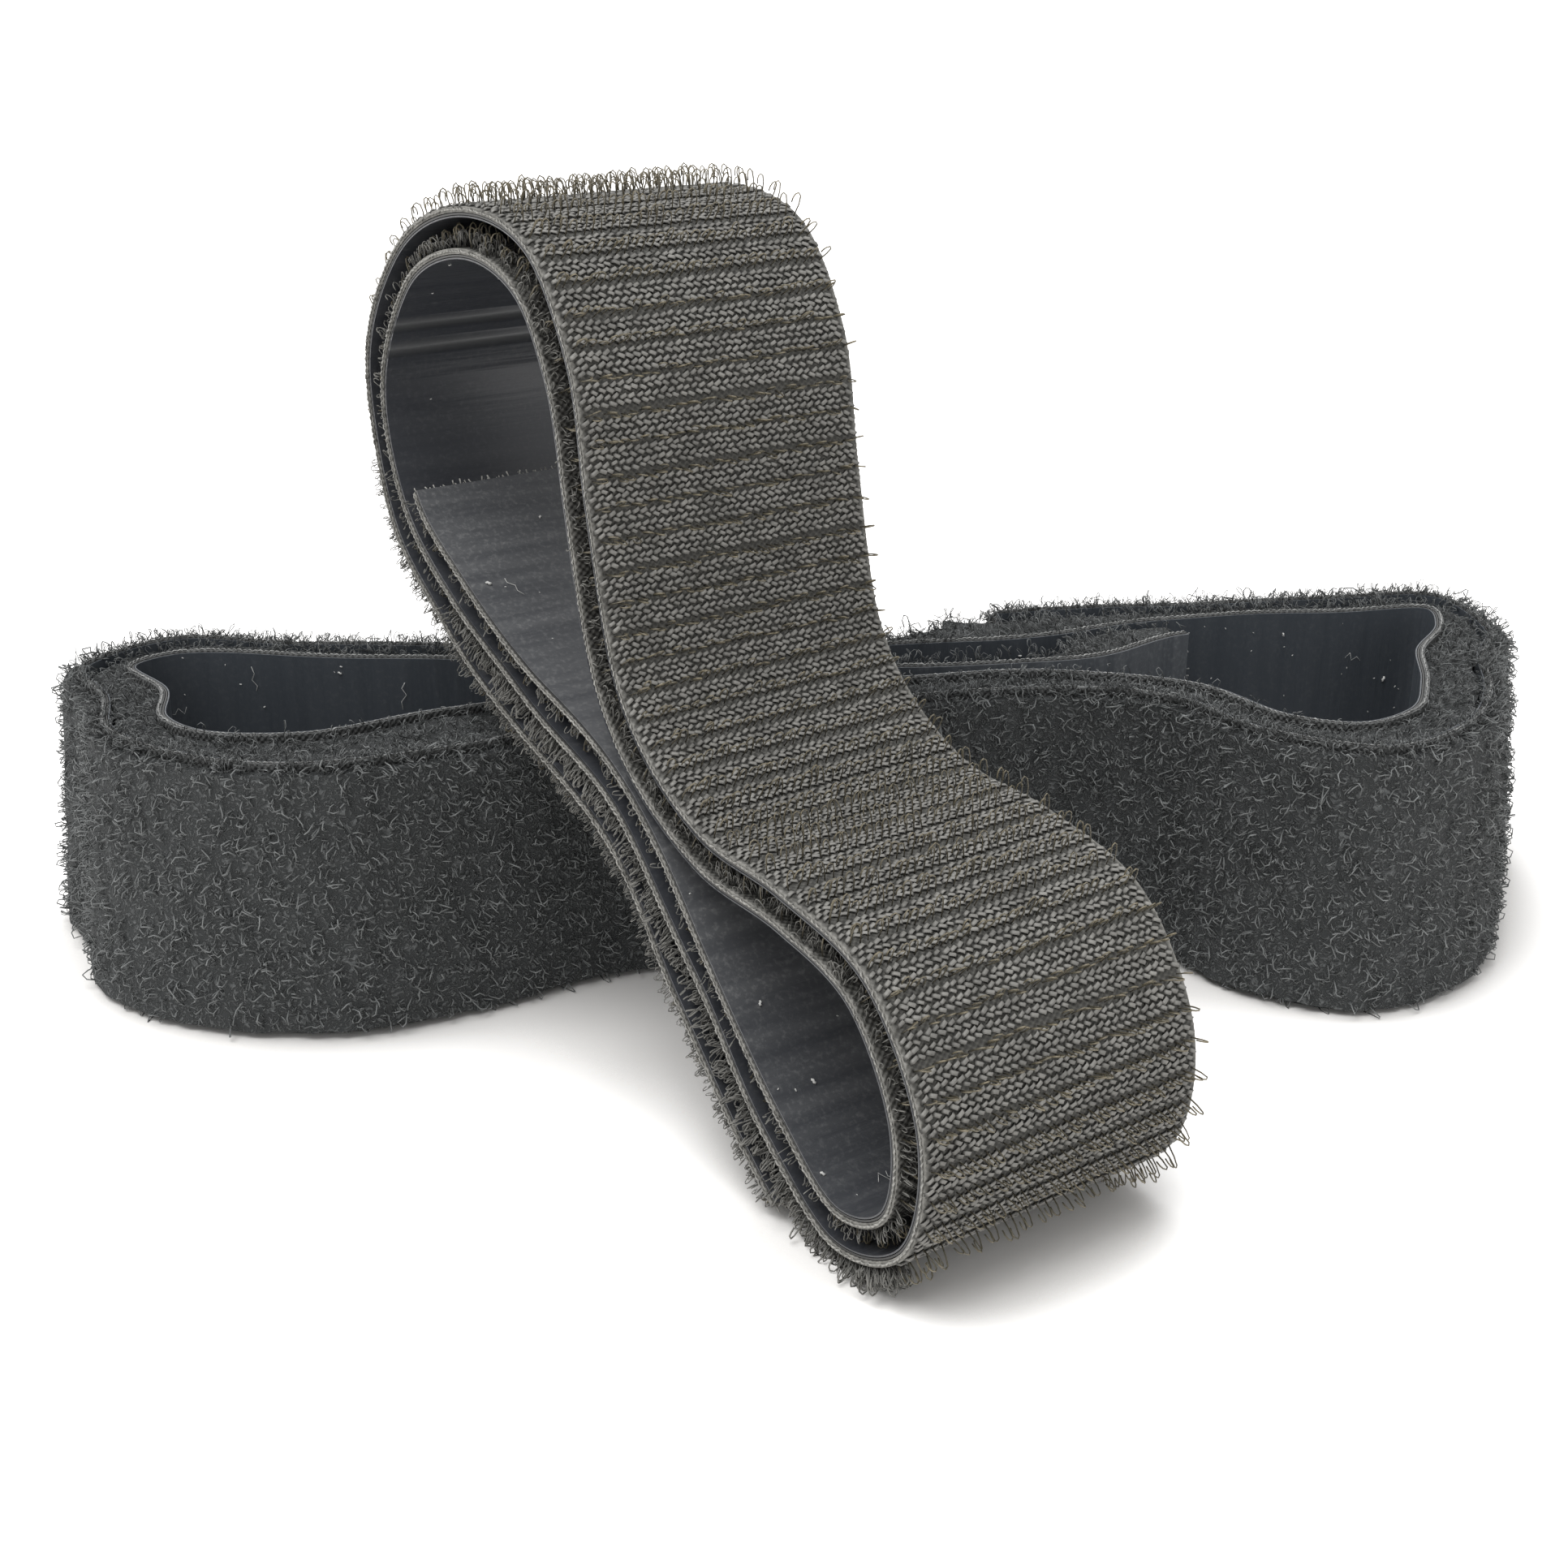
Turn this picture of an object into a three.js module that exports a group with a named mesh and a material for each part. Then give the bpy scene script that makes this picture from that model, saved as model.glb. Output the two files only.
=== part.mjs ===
// A pair of self-adhesive fastening tapes, each wound on itself into a loose flat roll.
// The loop tape roll stands on its edge, and the hook tape roll leans back against it.
// Millimetres, +X along the loop roll, +Y away from the leaning side, +Z up.
import * as THREE from 'three';

// Tape, the same woven ground for both
const TAPE_WIDTH = 20;
const SELVEDGE = 1; // bare woven margin along each edge
const GROUND = 0.35;
const ADHESIVE = 0.12;
const LINER = 0.1;
const LAYER_GAP = 0.05; // clearance between the layers of one tape

// Faces that grip
const HOOK_HEIGHT = 1.25;
const HOOK_ROW_PITCH = 2.5; // one row of hooks across the tape to the next
const HOOK_ROW_DEPTH = 0.5; // groove between two rows
const HOOK_ROW_CREST = 0.65; // share of a row before its crest, as the hooks lean
const PILE_HEIGHT = 1.8;

// Hook roll: a waisted loop with a large head and a smaller foot
const HOOK_HEAD = { length: 37.5, front: 16, back: 6.4 };
const HOOK_FOOT = { length: 31.1, front: 10.3, back: 2.4 };
const HOOK_WAIST_GAP = 0.6; // liner to liner where the two walls meet
const HOOK_LAP_GAP = 0.3; // hook tips to the liner of the next lap
const HOOK_SLACK = 0.9; // more than that, where the laps stand furthest apart
const HOOK_END = 45.4; // outline points that the tape has passed at its outer end
const HOOK_END_SLIDE = 1.2; // the outer end has slid sideways out of the roll
const HOOK_SLIDE_RUN = 95; // length of tape that slid

// Loop roll: a waisted loop with two bulges, wound slackly
const LOOP_RIGHT = { length: 52.4, front: 16, back: 9.4 };
const LOOP_LEFT = { length: 49.4, front: 10, back: 8.8 };
const LOOP_WAIST_GAP = 1.8;
const LOOP_LAP_GAP = 0.3; // pile tips to the liner of the next lap
const LOOP_SLACK = 4.3;
const LOOP_END = 51.2;

// How the hook roll leans
const HOOK_LEAN = 37.5; // degrees, its length above the floor
const HOOK_YAW = 28.9; // degrees, its tape width from the loop roll's length
const HOOK_ALONG = -15.3; // middle of its tape width, along that direction
const SEAT_GAP = 0.3;

// Fineness of the curves
const KNOT_STEPS = 24; // points of the path from one outline point to the next
const STATION_STEPS = [24, 12, 8, 6]; // of those, how many to the next station
const TURN_STEP = 22; // degrees between two stations in a bend

// Layers of a tape as offsets from the middle of its ground, outwards
const groundFace = GROUND / 2;
const adhesiveFace = groundFace + LAYER_GAP;
const linerFace = adhesiveFace + ADHESIVE + LAYER_GAP;
const tapeBack = linerFace + LINER;
const gripFoot = groundFace + LAYER_GAP;
const hookTip = gripFoot + HOOK_HEIGHT;
const pileTip = gripFoot + PILE_HEIGHT;
const hookPitch = tapeBack + hookTip + HOOK_LAP_GAP;
const loopPitch = tapeBack + pileTip + LOOP_LAP_GAP;

// First lap of each tape, counter-clockwise from its inner end.
// Each point is [along, across, slack]: shares of the bulge that it belongs to, and of the
// slack by which the next lap stands off there.
const hookWaist = -(2 * tapeBack + HOOK_WAIST_GAP) / HOOK_FOOT.front;
const HOOK_LAP = [
  [0.785, 1, 0], [0.582, 0.98, 0], [0.329, 0.64, 0], [0, 0.03, 0], [-0.386, 0.457, 0],
  [-0.707, 1, 0], [-0.926, 0.63, 0], [-1, -0.263, 0], [-0.9, -0.788, 0], [-0.691, -1, 0],
  [-0.466, -0.727, 0], [-0.241, -0.283, 0], [0, hookWaist, 0], [0.177, -0.187, 0.22],
  [0.392, -0.574, 0.67], [0.565, -0.897, 1], [0.699, -1, 0.89], [0.871, -0.813, 0.33],
  [1, -0.361, 0], [0.987, 0.469, 0],
];
const loopWaist = -(2 * tapeBack + LOOP_WAIST_GAP) / LOOP_RIGHT.front;
const LOOP_LAP = [
  [0.592, 0.532, 0.3], [0.42, 0.021, 0.77], [0.153, 0, 0.44], [-0.162, 0.205, 0.23],
  [-0.486, 0.568, 0.05], [-0.749, 0.795, 0.05], [-0.941, 1, 0.14], [-1, 0.705, 0.14],
  [-0.935, 0.034, 0.3], [-0.917, -0.55, 0.22], [-0.846, -0.94, 0.2], [-0.709, -1, 0.75],
  [-0.526, -0.63, 1], [-0.304, -0.32, 0.65], [0.076, loopWaist, 0.4], [0.363, -0.188, 0.1],
  [0.54, -0.438, 0.14], [0.63, -0.85, 0.23], [0.721, -1, 0.35], [0.809, -0.85, 0.28],
  [0.866, -0.5, 0.37], [0.912, -0.063, 0.37], [0.989, 0.553, 0.2], [1, 1, 0.16],
  [0.83, 0.979, 0.12],
];

// Points that a tape passes, each lap outside the last by the pitch and the slack.
// One point before the tape and one after it lead the curve through both ends.
function windingKnots({ lap, plus, minus, pitch, slack, end }) {
  const first = lap.map(([along, across]) => {
    const bulge = along > 0 ? plus : minus;
    const depth = across > 0 ? bulge.back : bulge.front;
    return new THREE.Vector3(along * bulge.length, across * depth, 0);
  });
  const count = first.length;
  const knots = [];
  for (let i = -1; i <= Math.ceil(end) + 1; i += 1) {
    const k = (i + count) % count;
    const ahead = first[(k + 1) % count].clone().sub(first[(k + count - 1) % count]).normalize();
    const outwards = new THREE.Vector3(ahead.y, -ahead.x, 0);
    const step = pitch + slack * lap[k][2];
    knots.push(first[k].clone().addScaledVector(outwards, step * Math.floor(i / count)));
  }
  return knots;
}

// Middle line of the ground from the inner end to the outer end
function windTape(winding) {
  const knots = windingKnots(winding);
  const curve = new THREE.CatmullRomCurve3(knots, false, 'centripetal');
  const all = curve.getPoints((knots.length - 1) * KNOT_STEPS);
  const points = all.slice(KNOT_STEPS, Math.round((winding.end + 1) * KNOT_STEPS) + 1);
  let run = 0;
  return points.map((point, i) => {
    const before = points[Math.max(i - 1, 0)];
    const after = points[Math.min(i + 1, points.length - 1)];
    const tangent = after.clone().sub(before).normalize();
    run += point.distanceTo(before);
    return { point, out: new THREE.Vector3(tangent.y, -tangent.x, 0), tangent, run, slide: 0 };
  });
}

// Stations close together in the bends and far apart on the walls, at the same places in each lap
function pickStations(path, count) {
  const stations = [];
  for (let i = 0; i < path.length - 1; i += 1) {
    const from = (Math.floor(i / KNOT_STEPS) % count) * KNOT_STEPS;
    let turn = 0;
    for (let k = from; k < from + KNOT_STEPS; k += 1) turn += path[k].tangent.angleTo(path[k + 1].tangent);
    const wanted = (KNOT_STEPS * THREE.MathUtils.degToRad(TURN_STEP)) / turn;
    const finest = STATION_STEPS[STATION_STEPS.length - 1];
    const step = STATION_STEPS.find((steps) => steps <= wanted) ?? finest;
    if (i % step === 0) stations.push(path[i]);
  }
  stations.push(path[path.length - 1]);
  return stations;
}

// Cross-section of a layer at a station: two corners inside, two outside
function section(station, inner, outer, margin) {
  const place = (offset, z) => {
    const corner = station.point.clone().addScaledVector(station.out, offset);
    return [corner.x, corner.y, z + station.slide];
  };
  const high = TAPE_WIDTH - margin;
  return [place(inner, margin), place(outer, margin), place(outer, high), place(inner, high)];
}

function skin(sections) {
  const corners = 4;
  const index = [];
  for (let i = 0; i + 1 < sections.length; i += 1) {
    for (let k = 0; k < corners; k += 1) {
      const a = i * corners + k;
      const b = i * corners + ((k + 1) % corners);
      index.push(a, a + corners, b, b, a + corners, b + corners);
    }
  }
  const last = (sections.length - 1) * corners;
  index.push(0, 1, 2, 0, 2, 3, last, last + 2, last + 1, last, last + 3, last + 2);
  const geometry = new THREE.BufferGeometry();
  geometry.setAttribute('position', new THREE.Float32BufferAttribute(sections.flat(2), 3));
  geometry.setIndex(index);
  geometry.computeVertexNormals();
  return geometry;
}

function plainLayer(stations, inner, outer, margin) {
  return skin(stations.map((station) => section(station, inner, outer, margin)));
}

function between(a, b, run) {
  const t = (run - a.run) / (b.run - a.run);
  return {
    point: a.point.clone().lerp(b.point, t),
    out: a.out.clone().lerp(b.out, t),
    slide: THREE.MathUtils.lerp(a.slide, b.slide, t),
  };
}

// Rows of hooks across the tape, each row a tooth that leans towards the outer end
function hookLayer(stations) {
  const tip = (run) => {
    const share = (run / HOOK_ROW_PITCH) % 1;
    const falling = (1 - share) / (1 - HOOK_ROW_CREST);
    const rise = share < HOOK_ROW_CREST ? share / HOOK_ROW_CREST : falling;
    return hookTip - HOOK_ROW_DEPTH * (1 - rise);
  };
  const sections = [];
  stations.forEach((station, i) => {
    sections.push(section(station, gripFoot, tip(station.run), SELVEDGE));
    const next = stations[i + 1];
    if (!next) return;
    const turns = [];
    for (let row = Math.floor(station.run / HOOK_ROW_PITCH); row * HOOK_ROW_PITCH < next.run; row += 1) {
      turns.push(row * HOOK_ROW_PITCH, (row + HOOK_ROW_CREST) * HOOK_ROW_PITCH);
    }
    turns.filter((run) => run > station.run + LAYER_GAP && run < next.run - LAYER_GAP).forEach((run) => {
      sections.push(section(between(station, next, run), gripFoot, tip(run), SELVEDGE));
    });
  });
  return skin(sections);
}

function piece(name, geometry, color, roughness) {
  const material = new THREE.MeshStandardMaterial({ color, roughness, metalness: 0 });
  const mesh = new THREE.Mesh(geometry, material);
  mesh.name = name;
  return mesh;
}

// Least gap of a wound layer to its own other laps, over points on both of its faces
function leastSelfGap(path, inner, outer) {
  const every = 4;
  const apart = 30; // tape between two points that count as different laps
  const faces = path.filter((_, i) => i % every === 0).flatMap(({ point, out, run }) => (
    [inner, outer].map((offset) => ({ at: point.clone().addScaledVector(out, offset), run }))
  ));
  let least = Infinity;
  faces.forEach((a, i) => {
    faces.slice(i + 1).forEach((b) => {
      if (b.run - a.run > apart) least = Math.min(least, a.at.distanceTo(b.at));
    });
  });
  return least;
}

function report(name, path, layers) {
  const gaps = layers.map(([layer, inner, outer]) => (
    `${layer} ${leastSelfGap(path, inner, outer).toFixed(2)}`
  ));
  const length = path[path.length - 1].run.toFixed(0);
  console.log(`${name}: ${length} mm of tape, least gap to itself in mm: ${gaps.join(', ')}`);
}

// Adhesive and its liner on the inside of a ground
function backing(name, stations) {
  const adhesive = plainLayer(stations, -adhesiveFace - ADHESIVE, -adhesiveFace, LAYER_GAP);
  const liner = plainLayer(stations, -tapeBack, -linerFace, LAYER_GAP);
  return [
    piece(`${name}_adhesive`, adhesive, 0x2a2c2d, 0.5),
    piece(`${name}_liner`, liner, 0x14171c, 0.25),
  ];
}

// Loop tape roll, standing on its edge
const loopPath = windTape({
  lap: LOOP_LAP,
  plus: LOOP_RIGHT,
  minus: LOOP_LEFT,
  pitch: loopPitch,
  slack: LOOP_SLACK,
  end: LOOP_END,
});
const loopStations = pickStations(loopPath, LOOP_LAP.length);
const loopRoll = new THREE.Group();
loopRoll.add(
  piece('loop_ground', plainLayer(loopStations, -groundFace, groundFace, 0), 0x3a3d3e, 0.85),
  piece('loop_pile', plainLayer(loopStations, gripFoot, pileTip, SELVEDGE), 0x1f2324, 0.95),
  ...backing('loop', loopStations),
);

// Hook tape roll, built lying along +X from foot to head with its back wall at +Y
const hookPath = windTape({
  lap: HOOK_LAP,
  plus: HOOK_HEAD,
  minus: HOOK_FOOT,
  pitch: hookPitch,
  slack: HOOK_SLACK,
  end: HOOK_END,
});
const hookEnd = hookPath[hookPath.length - 1].run;
hookPath.forEach((place) => {
  const slid = THREE.MathUtils.smoothstep(place.run, hookEnd - HOOK_SLIDE_RUN, hookEnd);
  place.slide = HOOK_END_SLIDE * slid;
});
const hookStations = pickStations(hookPath, HOOK_LAP.length);
const hookRoll = new THREE.Group();
hookRoll.add(
  piece('hook_ground', plainLayer(hookStations, -groundFace, groundFace, 0), 0x45453f, 0.8),
  piece('hook_field', hookLayer(hookStations), 0x2b2a25, 0.6),
  ...backing('hook', hookStations),
);

report('loop roll', loopPath, [
  ['ground', -groundFace, groundFace],
  ['pile', gripFoot, pileTip],
  ['liner', -tapeBack, -linerFace],
]);
report('hook roll', hookPath, [
  ['ground', -groundFace, groundFace],
  ['hooks', gripFoot, hookTip],
  ['liner', -tapeBack, -linerFace],
]);

// The hook roll leans: turned up on its bend, raised by its lean, then turned about the vertical
const leaning = new THREE.Group();
leaning.rotation.z = Math.PI - THREE.MathUtils.degToRad(HOOK_LEAN);
leaning.add(hookRoll);
const upright = new THREE.Group();
upright.rotation.x = Math.PI / 2;
upright.add(leaning);
const yawed = new THREE.Group();
yawed.rotation.z = THREE.MathUtils.degToRad(HOOK_YAW - 90);
yawed.add(upright);
hookRoll.position.z = -TAPE_WIDTH / 2;
upright.position.y = HOOK_ALONG;
yawed.updateMatrixWorld(true);

// Its foot comes down on the floor
upright.position.z = -new THREE.Box3().setFromObject(yawed, true).min.z;
yawed.updateMatrixWorld(true);

// Its back wall comes up to the loop roll's front, at the pile's and the ground's top edges
const toYawed = yawed.matrixWorld.clone().invert();
const hookToYawed = toYawed.clone().multiply(hookRoll.matrixWorld);
function furthestForward(offset) {
  const reach = loopPath.map(({ point, out }) => (
    point.clone().addScaledVector(out, offset).applyMatrix4(toYawed)
  ));
  const across = reach.filter((p) => Math.abs(p.y - HOOK_ALONG) < TAPE_WIDTH / 2);
  return Math.max(...across.map((p) => p.x));
}
function furthestBack(height) {
  const wall = hookPath.map(({ point, out }) => (
    point.clone().addScaledVector(out, hookTip).applyMatrix4(hookToYawed)
  ));
  return Math.min(...wall.filter((p) => p.z <= height).map((p) => p.x));
}
const pileReach = furthestForward(pileTip) - furthestBack(TAPE_WIDTH - SELVEDGE);
const groundReach = furthestForward(groundFace) - furthestBack(TAPE_WIDTH);
upright.position.x = Math.max(pileReach, groundReach) + SEAT_GAP;

// Origin under the middle of the pair, on the floor
const tapeRolls = new THREE.Group();
tapeRolls.add(loopRoll, yawed);
tapeRolls.updateMatrixWorld(true);
const room = new THREE.Box3().setFromObject(tapeRolls, true);
const middle = room.getCenter(new THREE.Vector3());
tapeRolls.position.set(-middle.x, -middle.y, -room.min.z);

export default tapeRolls;
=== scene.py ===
import math

import bpy
import numpy as np
from mathutils import Matrix, Vector


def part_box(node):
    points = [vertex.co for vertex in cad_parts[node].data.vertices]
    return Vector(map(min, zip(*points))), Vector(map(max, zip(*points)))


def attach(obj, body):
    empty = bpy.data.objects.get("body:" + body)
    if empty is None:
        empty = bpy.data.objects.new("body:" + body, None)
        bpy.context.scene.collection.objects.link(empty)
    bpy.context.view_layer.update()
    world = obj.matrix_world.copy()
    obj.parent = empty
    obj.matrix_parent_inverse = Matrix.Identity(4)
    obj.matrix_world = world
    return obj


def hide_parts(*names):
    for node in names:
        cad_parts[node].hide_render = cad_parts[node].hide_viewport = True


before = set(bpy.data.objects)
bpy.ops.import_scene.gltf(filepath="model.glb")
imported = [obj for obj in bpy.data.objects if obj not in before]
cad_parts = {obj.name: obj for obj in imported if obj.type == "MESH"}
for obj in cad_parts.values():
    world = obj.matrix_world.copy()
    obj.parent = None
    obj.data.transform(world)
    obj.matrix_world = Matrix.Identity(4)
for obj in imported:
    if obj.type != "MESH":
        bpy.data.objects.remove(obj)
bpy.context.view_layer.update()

# Studio
# The pair stands on a white table top that runs out of the picture on every side.
# One broad soft light stands almost overhead, a little to the left, and the room fills the rest.
view_line = Vector((0.100845, 0.920684, -0.377052))
view_centre = Vector((-0.002103, 0.02112, 0.010))
view_distance = 0.164126
table_reach = 30
shade_reach = 0.022
table_glow = 0.6


def put_in(name, data):
    """Object in the scene."""
    made = bpy.data.objects.new(name, data)
    bpy.context.collection.objects.link(made)
    return made


def new_mesh(name, points, faces):
    """Mesh from points in any array and from faces."""
    made = bpy.data.meshes.new(name)
    made.from_pydata(np.reshape(points, (-1, 3)).tolist(), [], faces)
    return made


def node(tree, kind, inputs=None, **settings):
    """Adds a node with its options, and fills its inputs with values or other nodes' outputs."""
    made = tree.nodes.new(kind)
    for key, value in settings.items():
        setattr(made, key, value)
    for key, value in (inputs or {}).items():
        if isinstance(value, bpy.types.NodeSocket):
            tree.links.new(value, made.inputs[key])
        else:
            made.inputs[key].default_value = value
    return made


def maths(tree, operation, *values):
    """Output of one step of arithmetic."""
    return node(tree, "ShaderNodeMath", dict(enumerate(values)), operation=operation).outputs[0]


def ranged(tree, value, start=0.0, stop=1.0, low=0.0, high=1.0, kind="LINEAR"):
    """Value brought from one range to another and held within it."""
    ends = {"From Min": start, "From Max": stop, "To Min": low, "To Max": high}
    made = node(tree, "ShaderNodeMapRange", {"Value": value, **ends}, interpolation_type=kind)
    return made.outputs[0]


def new_paint(name, rough):
    """Material with its node tree and its shader."""
    made = bpy.data.materials.new(name)
    made.use_nodes = True
    shader = made.node_tree.nodes["Principled BSDF"]
    shader.inputs["Roughness"].default_value = rough
    return made, made.node_tree, shader


def seen_rays(tree):
    """1 for rays that show the background: from the camera, off a gloss or through what is clear."""
    path = node(tree, "ShaderNodeLightPath").outputs
    seen = maths(tree, "MAXIMUM", path["Is Camera Ray"], path["Is Glossy Ray"])
    return maths(tree, "MAXIMUM", seen, path["Is Transmission Ray"])


camera_data = bpy.data.cameras.new("camera")
camera_data.sensor_width = 36
camera_data.lens = 49.131
camera_data.clip_start = 0.01
camera = put_in("camera", camera_data)
camera.location = view_centre - view_line * view_distance
camera.rotation_euler = view_line.to_track_quat("-Z", "Y").to_euler()
bpy.context.scene.camera = camera

table_corners = [(x * table_reach, y * table_reach, 0)
                 for x, y in ((-1, -1), (1, -1), (1, 1), (-1, 1))]
table_top = put_in("table_top", new_mesh("table_top", table_corners, [(0, 1, 2, 3)]))
table_paint, table_tree, table_shader = new_paint("table_paint", 0.9)
table_shader.inputs["Base Color"].default_value = (0.9, 0.885, 0.865, 1)
table_shader.inputs["Specular IOR Level"].default_value = 0.1
table_shader.inputs["Emission Color"].default_value = (1, 1, 1, 1)
# For camera rays the table glows, a painted light that makes it white. The glow fades where the
# ambient occlusion is deep, so the darkening under the rolls is painted shade.
around = node(table_tree, "ShaderNodeAmbientOcclusion", {"Distance": shade_reach})
painted_glow_out_of_shade = ranged(table_tree, around.outputs["AO"], 0.5, 0.82, high=table_glow, kind="SMOOTHSTEP")
painted_table_glow = maths(table_tree, "MULTIPLY", seen_rays(table_tree), painted_glow_out_of_shade)
table_tree.links.new(painted_table_glow, table_shader.inputs["Emission Strength"])
table_top.data.materials.append(table_paint)

window_data = bpy.data.lights.new("window", "SUN")
window_data.energy = 2.0
window_data.angle = math.radians(45)
window = put_in("window", window_data)
window.rotation_euler = Vector((0.3, 0.15, -0.94)).to_track_quat("-Z", "Y").to_euler()

world = bpy.data.worlds.new("room")
world.use_nodes = True
bpy.context.scene.world = world
room_tree = world.node_tree
room_light = room_tree.nodes["Background"]
room_light.inputs["Color"].default_value = (1, 1, 1, 1)
room_light.inputs["Strength"].default_value = 0.68
white = node(room_tree, "ShaderNodeBackground", {"Color": (1, 1, 1, 1), "Strength": 1})
either = node(room_tree, "ShaderNodeMixShader",
              {0: seen_rays(room_tree), 1: room_light.outputs[0], 2: white.outputs[0]})
room_tree.links.new(either.outputs[0], room_tree.nodes["World Output"].inputs["Surface"])

# Loop tape's ground
# Narrow nylon weave, wound on itself into a slack waisted roll that stands on its edge.
# It carries the pile, and its weft turns back along both edges, which shows paler than the face.
mm = 0.001
tape_width = 20.0
ground_face = 0.175
path_step = 0.25
steps_per_knot = 48
edge_waves = ((0.07, 5.1, 0), (0.05, 2.3, 1))
pale_rim, pale_end = 0.3, 0.6
lowest_tip = 0.02
pick_pitch, end_pitch = 0.45, 0.5
turn_pitch = 0.42
warp_pitch = 0.24


def wind_tape(lap, plus, minus, pitch, slack, end):
    """Middle line of a ground from its inner end, as points, outward directions and length run."""
    first = []
    for along, across, _ in lap:
        length, front, back = plus if along > 0 else minus
        first.append((along * length, across * (back if across > 0 else front)))
    first = np.array(first)
    count = len(first)
    knots = []
    for i in range(-1, math.ceil(end) + 2):
        k = i % count
        ahead = first[(k + 1) % count] - first[(k - 1) % count]
        ahead = ahead / np.linalg.norm(ahead)
        step = (pitch + slack * lap[k][2]) * math.floor(i / count)
        knots.append(first[k] + np.array([ahead[1], -ahead[0]]) * step)
    knots = np.array(knots)
    share = np.linspace(0, 1, steps_per_knot, endpoint=False)[:, None]
    points = []
    for i in range(1, len(knots) - 2):
        p0, p1, p2, p3 = knots[i - 1:i + 3]
        d0, d1, d2 = (np.linalg.norm(b - a) ** 0.5 for a, b in ((p0, p1), (p1, p2), (p2, p3)))
        t1 = ((p1 - p0) / d0 - (p2 - p0) / (d0 + d1) + (p2 - p1) / d1) * d1
        t2 = ((p2 - p1) / d1 - (p3 - p1) / (d1 + d2) + (p3 - p2) / d2) * d1
        bend = -3 * p1 + 3 * p2 - 2 * t1 - t2
        twist = 2 * p1 - 2 * p2 + t1 + t2
        points.append(p1 + t1 * share + bend * share ** 2 + twist * share ** 3)
    points = np.vstack(points)[:round(end * steps_per_knot) + 1]
    run = np.concatenate([[0], np.cumsum(np.linalg.norm(np.diff(points, axis=0), axis=1))])
    even = np.linspace(0, run[-1], round(run[-1] / path_step) + 1)
    at = np.stack([np.interp(even, run, points[:, k]) for k in range(2)], 1)
    ahead = np.gradient(at, axis=0)
    ahead /= np.linalg.norm(ahead, axis=1)[:, None]
    out = np.stack([ahead[:, 1], -ahead[:, 0]], 1)
    return {"at": at, "out": out, "run": even, "length": run[-1],
            "turn": np.eye(3), "shift": np.zeros(3), "slide": np.zeros(len(even))}


def along_tape(tape, run, key):
    """What a tape's path holds under a key, at a length run."""
    return np.stack([np.interp(run, tape["run"], tape[key][:, k]) for k in range(2)], -1)


def on_tape(tape, run, off, across):
    """Points in the shared frame at a length run, an offset outwards and a place across a tape."""
    run, off, across = np.broadcast_arrays(run, off, across)
    flat = along_tape(tape, run, "at") + along_tape(tape, run, "out") * off[..., None]
    side = across + np.interp(run, tape["run"], tape["slide"])
    for sway, length, start in edge_waves:
        side = side + sway * np.sin(run / length + start)
    local = np.concatenate([flat, side[..., None]], -1)
    return local @ tape["turn"].T * mm + tape["shift"]


def outwards(tape, run):
    """Direction away from the roll's inside."""
    out = along_tape(tape, run, "out")
    return np.concatenate([out, np.zeros(out.shape[:-1] + (1,))], -1) @ tape["turn"].T


def onwards(tape, run):
    """Direction along the tape, towards its outer end."""
    out = along_tape(tape, run, "out")
    return np.stack([-out[..., 1], out[..., 0], np.zeros(out.shape[:-1])], -1) @ tape["turn"].T


def crosswise(tape, run):
    """Direction across the tape."""
    return np.broadcast_to(tape["turn"][:, 2], run.shape + (3,))


def seat(tape, node_name):
    """Moves a tape to where the CAD holds its ground."""
    faces = np.array([-ground_face, ground_face])[:, None]
    edges = np.array([0.0, tape_width])
    ends = on_tape(tape, tape["run"][:, None, None], faces, edges).reshape(-1, 3)
    low, high = (np.array(corner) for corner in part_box(node_name))
    tape["shift"] = (low + high) / 2 - (ends.min(0) + ends.max(0)) / 2


def mark(mesh, label, values, kind="FLOAT"):
    """Gives every point of a mesh a number or a direction."""
    held = mesh.attributes.new(label, kind, "POINT")
    values = values.astype(np.float32).ravel()
    held.data.foreach_set("value" if kind == "FLOAT" else "vector", values)


def ring_faces(rings, ring):
    """Faces between rings of points, with a face over each end."""
    first = np.arange((rings - 1) * ring)
    after = first - first % ring + (first + 1) % ring
    last = (rings - 1) * ring
    faces = np.stack([first, after, after + ring, first + ring], 1).tolist()
    return faces + [list(range(ring))[::-1], list(range(last, last + ring))]


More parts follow.
